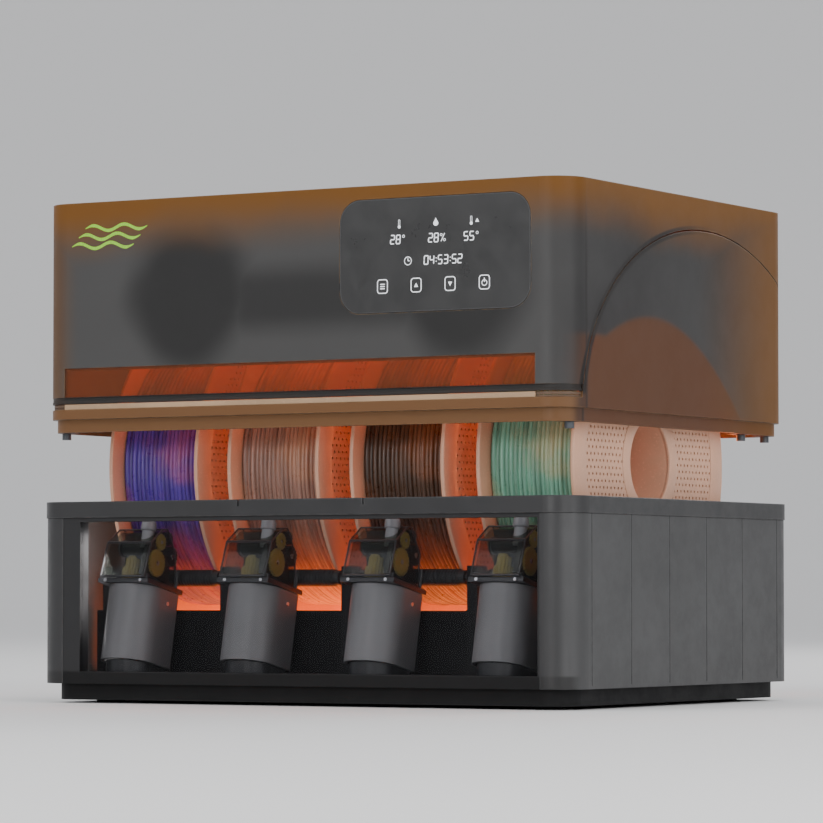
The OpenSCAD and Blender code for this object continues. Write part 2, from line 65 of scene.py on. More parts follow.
nodes = frame["nodes"]

BAYS = (1, 2, 3, 4)
MM = 0.001


def box_of(node):
    """Lowest and highest corner of a CAD node, and its middle."""
    lo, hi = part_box(node)
    return lo, hi, (lo + hi) / 2


# ---------------------------------------------------------------- camera, floor and light

# Camera and lights are placed in metres; the lens and the sensor are in millimetres
CAMERA_AZIMUTH = math.radians(30.565)
CAMERA_PITCH = math.radians(2.577)
CAMERA_PLACE = (1.3064, -2.2217, 0.0659)
SENSOR = 36.0
LENS = 179.3


def make_camera():
    data = bpy.data.cameras.new("camera")
    data.sensor_width = SENSOR
    data.lens = LENS
    camera = bpy.data.objects.new("camera", data)
    camera.location = CAMERA_PLACE
    camera.rotation_euler = (math.pi / 2 + CAMERA_PITCH, 0, CAMERA_AZIMUTH)
    bpy.context.collection.objects.link(camera)
    bpy.context.scene.camera = camera


def make_floor():
    """A round studio floor that curves up into a low wall."""
    flat, bend, wall = 6.0, 2.5, 3.2
    profile = [(0.0, 0.0), (flat * 0.3, 0.0), (flat, 0.0)]
    for step in range(1, 13):
        turn = math.pi / 2 * step / 12
        profile.append((flat + bend * math.sin(turn), bend * (1 - math.cos(turn))))
    profile.append((flat + bend, wall))
    floor = lathe("studio_floor", profile, 96, axis="Z", closed=False)
    floor.data.materials.append(studio_paint())


def studio_paint():
    material, _, shader = new_material("studio_paint")
    shader.inputs["Base Color"].default_value = (0.9, 0.89, 0.875, 1)
    shader.inputs["Roughness"].default_value = 0.7
    return material


def area_light(name, place, target, size, power, colour=(1, 1, 1)):
    data = bpy.data.lights.new(name, "AREA")
    data.shape = "RECTANGLE"
    data.size, data.size_y = size
    data.energy = power
    data.color = colour
    light = bpy.data.objects.new(name, data)
    light.location = place
    light.visible_camera = False
    light.rotation_euler = (Vector(target) - Vector(place)).to_track_quat("-Z", "Y").to_euler()
    bpy.context.collection.objects.link(light)
    return light


def make_lights():
    world = bpy.data.worlds.new("studio")
    world.use_nodes = True
    background = world.node_tree.nodes["Background"]
    background.inputs["Color"].default_value = (0.93, 0.95, 1.0, 1)
    background.inputs["Strength"].default_value = 0.75
    bpy.context.scene.world = world
    middle = (0, 0, 0.15)
    area_light("key", (-1.3, -2.0, 1.9), middle, (1.6, 1.2), 24)
    area_light("front_fill", (0.15, -2.3, 0.55), (0, 0, 0.05), (0.5, 0.4), 10)
    area_light("side_strip", (2.1, -0.5, 0.9), middle, (0.5, 1.4), 14)
    area_light("corner_strip", (1.25, -1.15, 0.22), (0.18, -0.14, 0.12), (0.3, 1.0), 4.0)
    area_light("back", (0.3, 2.2, 1.6), middle, (1.6, 0.8), 20)
    warm = (1.0, 0.2, 0.035)
    lo, hi, mid = box_of("bay_tray")
    area_light("base_glow", (mid.x, mid.y, lo.z + 4 * MM), (mid.x, mid.y, 1), (0.33, 0.12), 0.95, warm)
    area_light("rear_glow", (mid.x, hi.y + 32 * MM, 0.15), (mid.x, mid.y, 0.13), (0.33, 0.08), 1.1, warm)
    area_light("wall_glow", (-0.149, -0.124, 0.07), (-0.2, -0.132, 0.065), (0.03, 0.07), 0.11,
               (1, 0.97, 0.95))
    _, hi, mid = box_of("heater_frame")
    area_light("unit_glow", (mid.x, mid.y, hi.z - 8 * MM), (mid.x, mid.y, 0), (0.32, 0.2), 1.1, warm)


# ---------------------------------------------------------------- mesh tools

def link(name, mesh, body=None, smooth_angle=40):
    piece = bpy.data.objects.new(name, mesh)
    bpy.context.collection.objects.link(piece)
    if smooth_angle:
        mesh.shade_smooth()
        mesh.set_sharp_from_angle(angle=math.radians(smooth_angle))
    if body:
        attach(piece, body)
    return piece


def mesh_of(name, verts, faces):
    mesh = bpy.data.meshes.new(name)
    mesh.from_pydata([tuple(v) for v in verts], [], [tuple(f) for f in faces])
    mesh.validate()
    mesh.update()
    return mesh


def turned(profile, segments, axis="X", closed=True):
    """Vertices and faces of (along, radius) points, or (radius, along) for Z, turned about an axis."""
    verts, faces = [], []
    count = len(profile)
    for s in range(segments):
        c, n = math.cos(2 * math.pi * s / segments), math.sin(2 * math.pi * s / segments)
        for a, b in profile:
            verts.append((a, b * c, b * n) if axis == "X" else (a * c, a * n, b))
    for s in range(segments):
        t = (s + 1) % segments
        for p in range(count if closed else count - 1):
            q = (p + 1) % count
            quad = (s * count + p, s * count + q, t * count + q, t * count + p)
            faces.append(quad if axis == "X" else quad[::-1])
    return verts, faces


def lathe(name, profile, segments, axis="X", closed=True):
    return link(name, mesh_of(name, *turned(profile, segments, axis, closed)))


def join_parts(parts):
    """One list of vertices and faces from several."""
    verts, faces = [], []
    for v, f in parts:
        base = len(verts)
        verts.extend(v)
        faces.extend(tuple(i + base for i in face) for face in f)
    return verts, faces


def plate(outline, front, back):
    """A flat plate: an outline of (x, z) points, counter-clockwise seen from -Y, from y front to y back."""
    n = len(outline)
    verts = [(x, front, z) for x, z in outline] + [(x, back, z) for x, z in outline]
    faces = [tuple(range(n)), tuple(range(2 * n - 1, n - 1, -1))]
    faces += [(i, n + i, n + (i + 1) % n, (i + 1) % n) for i in range(n)]
    return verts, faces


def band(outer, inner, front, back):
    """A flat closed ring between two outlines with the same number of (x, z) points."""
    n = len(outer)
    verts = [(x, y, z) for y in (front, back) for ring in (outer, inner) for x, z in ring]
    faces = []
    for i in range(n):
        j = (i + 1) % n
        faces.append((i, j, n + j, n + i))
        faces.append((3 * n + i, 3 * n + j, 2 * n + j, 2 * n + i))
        faces.append((i, 2 * n + i, 2 * n + j, j))
        faces.append((n + i, n + j, 3 * n + j, 3 * n + i))
    return verts, faces


def ribbon(layers, flipped=False):
    """A closed bar of square section along four lines of points: two in front, then two behind."""
    n = len(layers[0])
    faces = []
    for k in range(n - 1):
        for a, b in ((0, 1), (3, 2), (2, 0), (1, 3)):
            faces.append((a * n + k, a * n + k + 1, b * n + k + 1, b * n + k))
    faces += [(0, n, 3 * n, 2 * n), (2 * n - 1, n - 1, 3 * n - 1, 4 * n - 1)]
    if flipped:
        faces = [face[::-1] for face in faces]
    return [point for layer in layers for point in layer], faces


def rounded_outline(cx, cz, w, h, r, steps=6):
    """A rounded rectangle of (x, z) points, counter-clockwise seen from -Y."""
    points = []
    for k, (sx, sz) in enumerate(((1, -1), (1, 1), (-1, 1), (-1, -1))):
        for s in range(steps + 1):
            turn = math.pi / 2 * (k - 1 + s / steps)
            points.append((cx + sx * (w / 2 - r) + r * math.cos(turn),
                           cz + sz * (h / 2 - r) + r * math.sin(turn)))
    return points


def circle_outline(cx, cz, r, steps=24):
    return [(cx + r * math.cos(2 * math.pi * i / steps), cz + r * math.sin(2 * math.pi * i / steps))
            for i in range(steps)]


# ---------------------------------------------------------------- material tools

PLINTH_TOP = 19.5 * MM                          # the base's front is black up to here


def new_material(name):
    material = bpy.data.materials.new(name)
    material.use_nodes = True
    return material, material.node_tree, material.node_tree.nodes["Principled BSDF"]


class Nodes:
    """Short calls for the nodes that the materials share."""

    def __init__(self, tree):
        self.tree = tree
        self.coords = tree.nodes.new("ShaderNodeTexCoord")

    def new(self, kind, **settings):
        node = self.tree.nodes.new(kind)
        for key, value in settings.items():
            setattr(node, key, value)
        return node

    def link(self, output, socket):
        self.tree.links.new(output, socket)

    def math(self, operation, a, b=None, clamp=False):
        node = self.new("ShaderNodeMath", operation=operation, use_clamp=clamp)
        for value, socket in ((a, node.inputs[0]), (b, node.inputs[1])):
            if value is None:
                continue
            if isinstance(value, (int, float)):
                socket.default_value = value
            else:
                self.link(value, socket)
        return node.outputs[0]

    def ramp(self, value, low, high, to_low=0.0, to_high=1.0):
        """value from low..high to to_low..to_high, smoothly."""
        node = self.new("ShaderNodeMapRange", interpolation_type="SMOOTHSTEP")
        self.link(value, node.inputs["Value"])
        for key, number in (("From Min", low), ("From Max", high), ("To Min", to_low), ("To Max", to_high)):
            node.inputs[key].default_value = number
        return node.outputs["Result"]

    def noise(self, scale, detail=3.0, roughness=0.55):
        node = self.new("ShaderNodeTexNoise")
        node.inputs["Scale"].default_value = scale
        node.inputs["Detail"].default_value = detail
        node.inputs["Roughness"].default_value = roughness
        self.link(self.coords.outputs["Object"], node.inputs["Vector"])
        return node.outputs["Fac"]

    def mix(self, factor, a, b):
        """Colour mix; a and b are colours or outputs."""
        node = self.new("ShaderNodeMix", data_type="RGBA")
        for value, socket in ((factor, node.inputs[0]), (a, node.inputs[6]), (b, node.inputs[7])):
            if isinstance(value, (int, float)):
                socket.default_value = value
            elif isinstance(value, (tuple, list)):
                socket.default_value = (*value[:3], 1)
            else:
                self.link(value, socket)
        return node.outputs[2]

    def bump(self, height, strength, distance, edge=0.0):
        node = self.new("ShaderNodeBump")
        node.inputs["Strength"].default_value = strength
        node.inputs["Distance"].default_value = distance
        self.link(height, node.inputs["Height"])
        if edge:
            bevel = self.new("ShaderNodeBevel", samples=4)
            bevel.inputs["Radius"].default_value = edge
            self.link(bevel.outputs["Normal"], node.inputs["Normal"])
        return node.outputs["Normal"]

    def object_xyz(self):
        node = self.new("ShaderNodeSeparateXYZ")
        self.link(self.coords.outputs["Object"], node.inputs[0])
        return node.outputs

    def facing(self):
        node = self.new("ShaderNodeSeparateXYZ")
        self.link(self.coords.outputs["Normal"], node.inputs[0])
        return node.outputs

    def band(self, value, middle, half, soft):
        """1 where value is within half of middle, falling to 0 over soft."""
        return self.ramp(self.math("ABSOLUTE", self.math("SUBTRACT", value, middle)), half + soft, half)

    def length(self, a, b):
        squares = self.math("ADD", self.math("MULTIPLY", a, a), self.math("MULTIPLY", b, b))
        return self.math("SQRT", squares)

    def edge_wear(self, radius):
        """1 on worn convex and concave edges, 0 elsewhere."""
        bevel = self.new("ShaderNodeBevel", samples=4)
        bevel.inputs["Radius"].default_value = radius
        geometry = self.new("ShaderNodeNewGeometry")
        dot = self.new("ShaderNodeVectorMath", operation="DOT_PRODUCT")
        self.link(bevel.outputs["Normal"], dot.inputs[0])
        self.link(geometry.outputs["True Normal"], dot.inputs[1])
        return self.ramp(dot.outputs["Value"], 0.97, 0.75)


def shaded(colour, factor):
    return tuple(min(1.0, c * factor) for c in colour[:3])


def front_shading_and_plinth(n, base, front):
    """The faces at the very front take the front colour, painted shading for how light falls on them; the
    plinth's front is nearly black.
    """
    _, y, z = n.object_xyz()
    forward = n.facing()[1]
    near_front = n.ramp(y, cad_box[0][1] + 7 * MM, cad_box[0][1] + 4 * MM)
    # Painted shading on the forward-facing faces near the front.
    base = n.mix(n.math("MULTIPLY", near_front, n.ramp(forward, -0.72, -0.98)), base, front)
    plinth = n.ramp(z, PLINTH_TOP + 1 * MM, PLINTH_TOP - 1 * MM)
    return n.mix(n.math("MULTIPLY", n.ramp(forward, -0.3, -0.7), plinth), base, shaded(front, 0.3))


def plastic(name, colour, rough=0.45, grain=0.35, grain_scale=1400, edge=0.7 * MM, wear=0.35, spread=0.12,
            specular=0.5, speckled=0.35, front=None, inner_wall_light=None):
    """Moulded plastic: slow colour variation, spark-eroded grain, scuffed roughness and paler worn edges.
    At the front of the base the faces can take painted shading, and the inner faces of its side walls painted
    light."""
    material, tree, shader = new_material(name)
    n = Nodes(tree)
    cloud = n.noise(14, 4)
    speckle = n.noise(grain_scale * 0.45, 2)
    base = n.mix(n.ramp(cloud, 0.35, 0.65), shaded(colour, 1 - spread), shaded(colour, 1 + spread))
    base = n.mix(n.ramp(speckle, 0.55, 0.75, 0, speckled), base, shaded(colour, 1.35))
    if front:
        base = front_shading_and_plinth(n, base, front)
    # Painted light: the inner faces of the side walls take a lighter colour.
    if inner_wall_light:
        inward = n.math("MULTIPLY", n.facing()[0], n.object_xyz()[0])
        base = n.mix(n.ramp(inward, -0.1, -0.16), base, inner_wall_light)
    worn = n.math("MULTIPLY", n.edge_wear(edge * 1.4), n.ramp(n.noise(160, 4), 0.35, 0.62))
    base = n.mix(n.math("MULTIPLY", worn, wear), base, tuple(min(1, c * 1.7 + 0.05) for c in colour))
    n.link(base, shader.inputs["Base Color"])
    scuff = n.ramp(n.noise(55, 5, 0.65), 0.3, 0.7, max(rough - 0.07, 0.02), rough + 0.09)
    n.link(scuff, shader.inputs["Roughness"])
    n.link(n.bump(n.noise(grain_scale, 2), grain, 0.06 * MM, edge), shader.inputs["Normal"])
    shader.inputs["Specular IOR Level"].default_value = specular
    return material


def metal(name, colour, rough=0.3, streak=0.5):
    """Turned or plated metal with fine marks."""
    material, tree, shader = new_material(name)
    n = Nodes(tree)
    base = n.mix(n.ramp(n.noise(60, 5), 0.3, 0.7), shaded(colour, 0.75), shaded(colour, 1.15))
    n.link(base, shader.inputs["Base Color"])
    n.link(n.ramp(n.noise(240, 4), 0.3, 0.7, rough * 0.7, rough * 1.5), shader.inputs["Roughness"])
    shader.inputs["Metallic"].default_value = 1.0
    n.link(n.bump(n.noise(900, 3), streak, 0.04 * MM, 0.3 * MM), shader.inputs["Normal"])
    return material


def see_through(tree, shader, clear):
    """Lets part of the light straight through: clear is 0 to 1, a number or an output."""
    mixer = tree.nodes.new("ShaderNodeMixShader")
    window = tree.nodes.new("ShaderNodeBsdfTransparent")
    output = tree.nodes["Material Output"]
    if isinstance(clear, (int, float)):
        mixer.inputs[0].default_value = clear
    else:
        tree.links.new(clear, mixer.inputs[0])
    tree.links.new(shader.outputs[0], mixer.inputs[1])
    tree.links.new(window.outputs[0], mixer.inputs[2])
    tree.links.new(mixer.outputs[0], output.inputs["Surface"])
    return window


def clear_plastic(name, tint, clear, through, rough=0.06):
    """Clear moulding: tinted, glossy, with faint flow marks and dust."""
    material, tree, shader = new_material(name)
    n = Nodes(tree)
    dust = n.ramp(n.noise(420, 5, 0.7), 0.52, 0.8)
    n.link(n.mix(dust, shaded(tint, 0.6), shaded(tint, 1.4)), shader.inputs["Base Color"])
    n.link(n.ramp(n.noise(40, 4), 0.3, 0.7, rough, rough + 0.08), shader.inputs["Roughness"])
    n.link(n.bump(n.noise(30, 2), 0.15, 0.2 * MM), shader.inputs["Normal"])
    film = n.math("SUBTRACT", clear, n.math("MULTIPLY", dust, 0.06), clamp=True)
    window = see_through(tree, shader, film)
    window.inputs["Color"].default_value = (*through, 1)
    return material


# ---------------------------------------------------------------- the smoked housing of the heater unit

UNIT_LO, UNIT_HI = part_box("lid_shell")
SKIRT = 8 * MM
FOOT_HEIGHT = 9.5 * MM
UNIT_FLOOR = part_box("heater_frame")[0].z + SKIRT
LID_FOOT = UNIT_FLOOR + FOOT_HEIGHT             # the lid's front wall starts here
SPOOL = box_of("spool_4")[2]
CORNER = 20 * MM                                # radius of the box's upright corners
# The colour of the painted warm glow.
AMBER_GLOW = (0.15, 0.058, 0.005)
SMOKE = (0.058, 0.057, 0.056)
# A darker copy of the smoke colour, painted as shade on the side walls.
SMOKE_SIDE_SHADE = (0.027, 0.026, 0.026)
GLOW_BROWN = (0.105, 0.042, 0.018)
BAND_BROWN = (0.15, 0.07, 0.026)
LINE_DARK = (0.016, 0.014, 0.013)
ARCH_HALF_AXES = (160.4 * MM, 114.4 * MM)       # the middle of the seam between lid and frame
ARCH_FRONT = 16 * MM                            # its distance from the front
# The spool's glow on a side wall is a parabola, which stays level in front of its top
HUMP_FORWARD = 30 * MM
HUMP_HEIGHT = 57 * MM
HUMP_FRONT = 43 * MM
HUMP_FALL = 4.0


def smoked_housing(name):
    """Frosted smoked plastic with a painted warm glow at the top, the left end and the rear, painted soft
    shade of the blowers on the front wall, and a painted warm glow of the spools on the sides."""
    material, tree, shader = new_material(name)
    n = Nodes(tree)
    x, y, z = n.object_xyz()
    facing = n.facing()
    side_wall = n.math("ABSOLUTE", facing[0])
    end_wall = n.math("ABSOLUTE", facing[1])
    drift = n.ramp(n.noise(9, 3), 0.3, 0.7, -5 * MM, 5 * MM)
    height = n.math("ADD", z, drift)
    # Painted warm glow towards the top, the left end and the rear.
    top_glow = n.ramp(height, UNIT_HI.z - 40 * MM, UNIT_HI.z - 2 * MM)
    left_glow = n.math("MULTIPLY", end_wall, n.ramp(x, UNIT_LO.x + 30 * MM, UNIT_LO.x + 1 * MM, 0, 0.75))
    rear_glow = n.math("MULTIPLY", side_wall, n.ramp(y, 10 * MM, UNIT_HI.y, 0, 0.95))
    amber_glow_mask = n.math("MAXIMUM", top_glow, n.math("MAXIMUM", left_glow, rear_glow))

    # Painted shade: the side walls take the darker smoke colour.
    smoke = n.mix(side_wall, SMOKE, SMOKE_SIDE_SHADE)
    smoke = n.mix(n.ramp(n.noise(11, 4), 0.3, 0.7, 0, 0.3), smoke, shaded(SMOKE, 1.2))
    # Painted shade of the blowers and the duct on the front wall.
    shade = painted_blower_shade(n, x, y, z)
    smoke = n.mix(shade, smoke, shaded(SMOKE, 0.34))
    # Painted warm glow of the spools on the side walls, with a little real see-through.
    away = n.math("SUBTRACT", y, SPOOL.y - HUMP_FORWARD)
    hump = n.math("SUBTRACT", HUMP_HEIGHT, n.math("MULTIPLY", n.math("MULTIPLY", away, away), HUMP_FALL))
    hump = n.math("MAXIMUM", hump, n.ramp(away, 8 * MM, -8 * MM, 0, HUMP_FRONT))
    below = n.math("SUBTRACT", n.math("ADD", hump, UNIT_FLOOR), z)
    past_front = n.ramp(y, UNIT_LO.y + 2 * MM, UNIT_LO.y + 30 * MM)
    spool_glow = n.math("MULTIPLY", n.ramp(below, -2.5 * MM, 2.5 * MM), past_front)
    base = n.mix(spool_glow, smoke, GLOW_BROWN)
    base = n.mix(amber_glow_mask, base, AMBER_GLOW)
    low_band = n.math("MULTIPLY", n.ramp(z, LID_FOOT + 0.6 * MM, LID_FOOT), n.ramp(end_wall, 0.2, 0.6))
    base = n.mix(low_band, base, BAND_BROWN)
    worn = n.math("MULTIPLY", n.edge_wear(1.2 * MM), n.ramp(n.noise(120, 4), 0.3, 0.6))
    base = n.mix(n.math("MULTIPLY", worn, 0.35), base, (0.5, 0.3, 0.13))
    base = n.mix(dark_lines_and_groove_shade(n, y, z, side_wall), base, LINE_DARK)
    n.link(base, shader.inputs["Base Color"])
    n.link(n.ramp(n.noise(38, 5, 0.6), 0.3, 0.7, 0.42, 0.52), shader.inputs["Roughness"])
    n.link(n.bump(n.noise(1200, 2), 0.14, 0.05 * MM, 0.9 * MM), shader.inputs["Normal"])
    shader.inputs["Specular IOR Level"].default_value = 0.26
    front_clear = n.ramp(n.math("MAXIMUM", amber_glow_mask, shade), 0, 1, 0.07, 0.03)
    clear = n.math("MAXIMUM", front_clear, n.math("MULTIPLY", spool_glow, 0.2))
    window = see_through(tree, shader, clear)
    window.inputs["Color"].default_value = (0.95, 0.72, 0.5, 1)
    return material


def dark_lines_and_groove_shade(n, y, z, side_wall):
    """Dark lines: the curved seam between lid and frame and the end of the front corners; and painted shade
    in the groove round the lid's foot.
    """
    half_y, half_z = ARCH_HALF_AXES
    centre_y = UNIT_LO.y + ARCH_FRONT + half_y
    part_y = n.math("DIVIDE", n.math("SUBTRACT", y, centre_y), half_y)
    part_z = n.math("DIVIDE", n.math("SUBTRACT", z, UNIT_FLOOR), half_z)
    far = n.length(part_y, part_z)
    rising = n.ramp(y, UNIT_HI.y - 90 * MM, UNIT_HI.y - 190 * MM)
    seam = n.math("MULTIPLY", n.band(far, 1.0, 0.017, 0.012), rising)
    seam = n.math("MULTIPLY", seam, n.ramp(z, LID_FOOT - 3 * MM, LID_FOOT))
    corner = n.math("MULTIPLY", n.band(y, UNIT_LO.y + CORNER + 0.5 * MM, 0.4 * MM, 1.6 * MM),
                    n.ramp(z, UNIT_HI.z, UNIT_HI.z - 70 * MM, 0, 0.75))
    on_side = n.math("MULTIPLY", n.math("MAXIMUM", seam, corner), n.ramp(side_wall, 0.5, 0.9))
    # Painted shade in the groove round the foot of the lid's front wall.
    foot = n.math("MULTIPLY", n.band(z, LID_FOOT + 1.9 * MM, 2.0 * MM, 0.3 * MM),
                  n.ramp(y, UNIT_LO.y + CORNER + 4 * MM, UNIT_LO.y + CORNER - 2 * MM))
    return n.math("MAXIMUM", on_side, n.math("MULTIPLY", foot, 0.85))


def painted_blower_shade(n, x, y, z):
    """Painted shade: soft dark patches on the front wall in front of the two blowers, tapering downwards, and
    of the duct between them.
    """
    masks = []
    for node in ("impeller_left", "impeller_right"):
        lo, hi, mid = box_of(node)
        radius = (hi.x - lo.x) / 2 + 11 * MM
        drop = n.ramp(z, mid.z, mid.z - 60 * MM, 0, 0.42)
        dx = n.math("MULTIPLY", n.math("SUBTRACT", x, mid.x), n.math("ADD", drop, 0.92))
        dz = n.math("MULTIPLY", n.math("SUBTRACT", z, mid.z - 4 * MM), 0.88)
        far = n.length(dx, dz)
        far = n.math("ADD", far, n.ramp(n.noise(18, 2), 0.3, 0.7, -3 * MM, 3 * MM))
        masks.append(n.ramp(far, radius + 9 * MM, radius - 17 * MM))
    lo, hi, mid = box_of("air_duct")
    across = n.ramp(n.math("ABSOLUTE", n.math("SUBTRACT", x, mid.x)), mid.x - lo.x + 26 * MM, mid.x - lo.x)
    tall = n.band(z, mid.z, mid.z - lo.z - 12 * MM, 20 * MM)
    masks.append(n.math("MULTIPLY", n.math("MULTIPLY", across, tall), 0.9))
    dark = n.math("MAXIMUM", masks[0], n.math("MAXIMUM", masks[1], masks[2]))
    on_front = n.ramp(y, UNIT_LO.y + 12 * MM, UNIT_LO.y + 6 * MM)
    return n.math("MULTIPLY", dark, on_front)


# ---------------------------------------------------------------- the other materials

def perforated_card(name):
    """Pale spool plastic, with warm light painted into its colour."""
    return plastic(name, (0.68, 0.38, 0.25), rough=0.4, grain=0.2, edge=0.5 * MM, wear=0.25, spread=0.08)


def wound(name, colour, warm_glow):
    """Wound filament: strands that vary a little from turn to turn, with patches of painted warm glow."""
    material, tree, shader = new_material(name)
    n = Nodes(tree)
    stretch = n.new("ShaderNodeMapping")
    stretch.inputs["Scale"].default_value = (1.0, 0.05, 0.05)
    n.link(n.coords.outputs["Object"], stretch.inputs["Vector"])
    turns = n.new("ShaderNodeTexNoise")
    turns.inputs["Scale"].default_value = 420
    n.link(stretch.outputs[0], turns.inputs["Vector"])
    base = n.mix(n.ramp(turns.outputs["Fac"], 0.3, 0.7), shaded(colour, 0.72), shaded(colour, 1.3))
    # Painted warm glow in patches.
    base = n.mix(n.ramp(n.noise(24, 3), 0.4, 0.7, 0, 0.6), base, warm_glow)
    n.link(base, shader.inputs["Base Color"])
    n.link(n.ramp(n.noise(200, 3), 0.3, 0.7, 0.26, 0.42), shader.inputs["Roughness"])
    n.link(n.bump(n.noise(1500, 2), 0.2, 0.04 * MM), shader.inputs["Normal"])
    return material


def glowing_fins(name):
    """Heater fins: warm metal with a little painted glow, even all over."""
    material = metal(name, (0.75, 0.36, 0.16), 0.35)
    shader = material.node_tree.nodes["Principled BSDF"]
    shader.inputs["Emission Color"].default_value = (1.0, 0.22, 0.04, 1)
    shader.inputs["Emission Strength"].default_value = 1.5
    return material


def lit(name, colour, strength):
    """A lit sign or digit."""
    material, tree, shader = new_material(name)
    n = Nodes(tree)
    base = n.mix(n.ramp(n.noise(700, 2), 0.3, 0.7), shaded(colour, 0.8), colour)
    n.link(base, shader.inputs["Base Color"])
    n.link(base, shader.inputs["Emission Color"])
    shader.inputs["Emission Strength"].default_value = strength
    n.link(n.ramp(n.noise(300, 2), 0.3, 0.7, 0.35, 0.5), shader.inputs["Roughness"])
    return material


def circuit_board(name):
    material, tree, shader = new_material(name)
    n = Nodes(tree)
    brick_node = n.new("ShaderNodeTexBrick")
    n.link(n.coords.outputs["Object"], brick_node.inputs["Vector"])
    brick_node.inputs["Scale"].default_value = 160
    brick_node.inputs["Color1"].default_value = (0.012, 0.09, 0.045, 1)
    brick_node.inputs["Color2"].default_value = (0.016, 0.12, 0.06, 1)
    brick_node.inputs["Mortar"].default_value = (0.05, 0.2, 0.1, 1)
    n.link(brick_node.outputs["Color"], shader.inputs["Base Color"])
    n.link(n.ramp(n.noise(300, 3), 0.3, 0.7, 0.25, 0.4), shader.inputs["Roughness"])
    return material


def make_materials():
    made = {
        # The front colours are painted shading at the very front: lighter on the black plastic, darker on the
        # grey base and rim. The base's inner-wall colour is painted light.
        "black_plastic": plastic("black_plastic", (0.009, 0.009, 0.0095), 0.55, specular=0.16,
                                 front=(0.026, 0.026, 0.027)),
        "foot_rubber": plastic("foot_rubber", (0.011, 0.011, 0.011), 0.75, grain=0.6),
        "base_grey": plastic("base_grey", (0.042, 0.042, 0.043), 0.42, grain=0.3, edge=0.9 * MM,
                             front=(0.018, 0.018, 0.019), inner_wall_light=(0.085, 0.083, 0.08)),
        "rim_grey": plastic("rim_grey", (0.024, 0.024, 0.025), 0.4, edge=1.0 * MM, wear=0.8,
                            front=(0.015, 0.015, 0.016)),
        "window_clear": clear_plastic("window_clear", (0.05, 0.05, 0.055), 0.94, (0.93, 0.93, 0.94), 0.03),
        "steel": metal("steel", (0.6, 0.6, 0.61)),
        "smoked_amber": smoked_housing("smoked_amber"),
        "seal_pale": plastic("seal_pale", (0.4, 0.26, 0.15), 0.5, grain=0.2, edge=0.4 * MM),
        "peg_grey": plastic("peg_grey", (0.05, 0.058, 0.068), 0.4),
        "amber_clear": clear_plastic("amber_clear", (0.26, 0.08, 0.028), 0.55, (1.0, 0.62, 0.38), 0.05),
        "liner_grey": plastic("liner_grey", (0.13, 0.13, 0.135), 0.5),
        "panel_gloss": plastic("panel_gloss", (0.026, 0.026, 0.026), 0.34, grain=0.02, wear=0.1,
                               spread=0.04, speckled=0.04),
        "board_green": circuit_board("board_green"),
        "impeller_grey": plastic("impeller_grey", (0.05, 0.055, 0.06), 0.45),
        "heater_copper": glowing_fins("heater_copper"),
        "spool_card": perforated_card("spool_card"),
        "filament_blue": wound("filament_blue", (0.09, 0.045, 0.32), (0.5, 0.1, 0.16)),
        "filament_brown": wound("filament_brown", (0.3, 0.165, 0.125), (0.55, 0.25, 0.12)),
        "filament_black": wound("filament_black", (0.065, 0.032, 0.018), (0.3, 0.09, 0.025)),
        "filament_green": wound("filament_green", (0.17, 0.38, 0.27), (0.6, 0.42, 0.19)),
        "roller_rubber": plastic("roller_rubber", (0.012, 0.012, 0.013), 0.6, grain=0.5),
        "hood_grey": plastic("hood_grey", (0.14, 0.14, 0.142), 0.46, grain=0.3, edge=0.8 * MM),
        "cover_smoke": clear_plastic("cover_smoke", (0.045, 0.05, 0.052), 0.84, (0.84, 0.86, 0.82), 0.05),
        "core_black": plastic("core_black", (0.016, 0.017, 0.019), 0.35),
        "gear_bronze": plastic("gear_bronze", (0.6, 0.46, 0.13), 0.34, grain=0.15, wear=0.5),
        "inlet_grey": plastic("inlet_grey", (0.2, 0.205, 0.215), 0.36),
    }
    made["mark_green"] = lit("mark_green", (0.28, 0.62, 0.03), 0.15)
    made["digit_white"] = lit("digit_white", (0.85, 0.87, 0.9), 0.8)
    # A darker copy of the seal colour, painted as shade of the grooves at the front corners.
    made["foot_brown"] = plastic("foot_brown", (0.1, 0.055, 0.028), 0.5, grain=0.2, edge=0.2 * MM)
    made["line_grey"] = plastic("line_grey", (0.075, 0.075, 0.078), 0.35)
    return made


def paint_nodes(materials):
    """Each CAD node takes the material of its slot in the record."""
    for row in frame["record"]["subparts"]:
        piece = nodes[row["node"]]
        material = materials[row["material_slot"]]
        for slot in piece.material_slots:
            slot.material = material
        if not piece.material_slots:
            piece.data.materials.append(material)


# ---------------------------------------------------------------- spools and filament

FLANGE = 2.6 * MM
WEB = 1.9 * MM
HOLE_PITCH = 4.6 * MM
HOLE_RADIUS = 1.0 * MM
# Radii of a spool's bore, hub ring, winding and rim ring
BORE = 26 * MM
HUB = 36 * MM
WOUND_FROM = 43 * MM
RIM_INNER = 82 * MM
SEGMENTS = 128


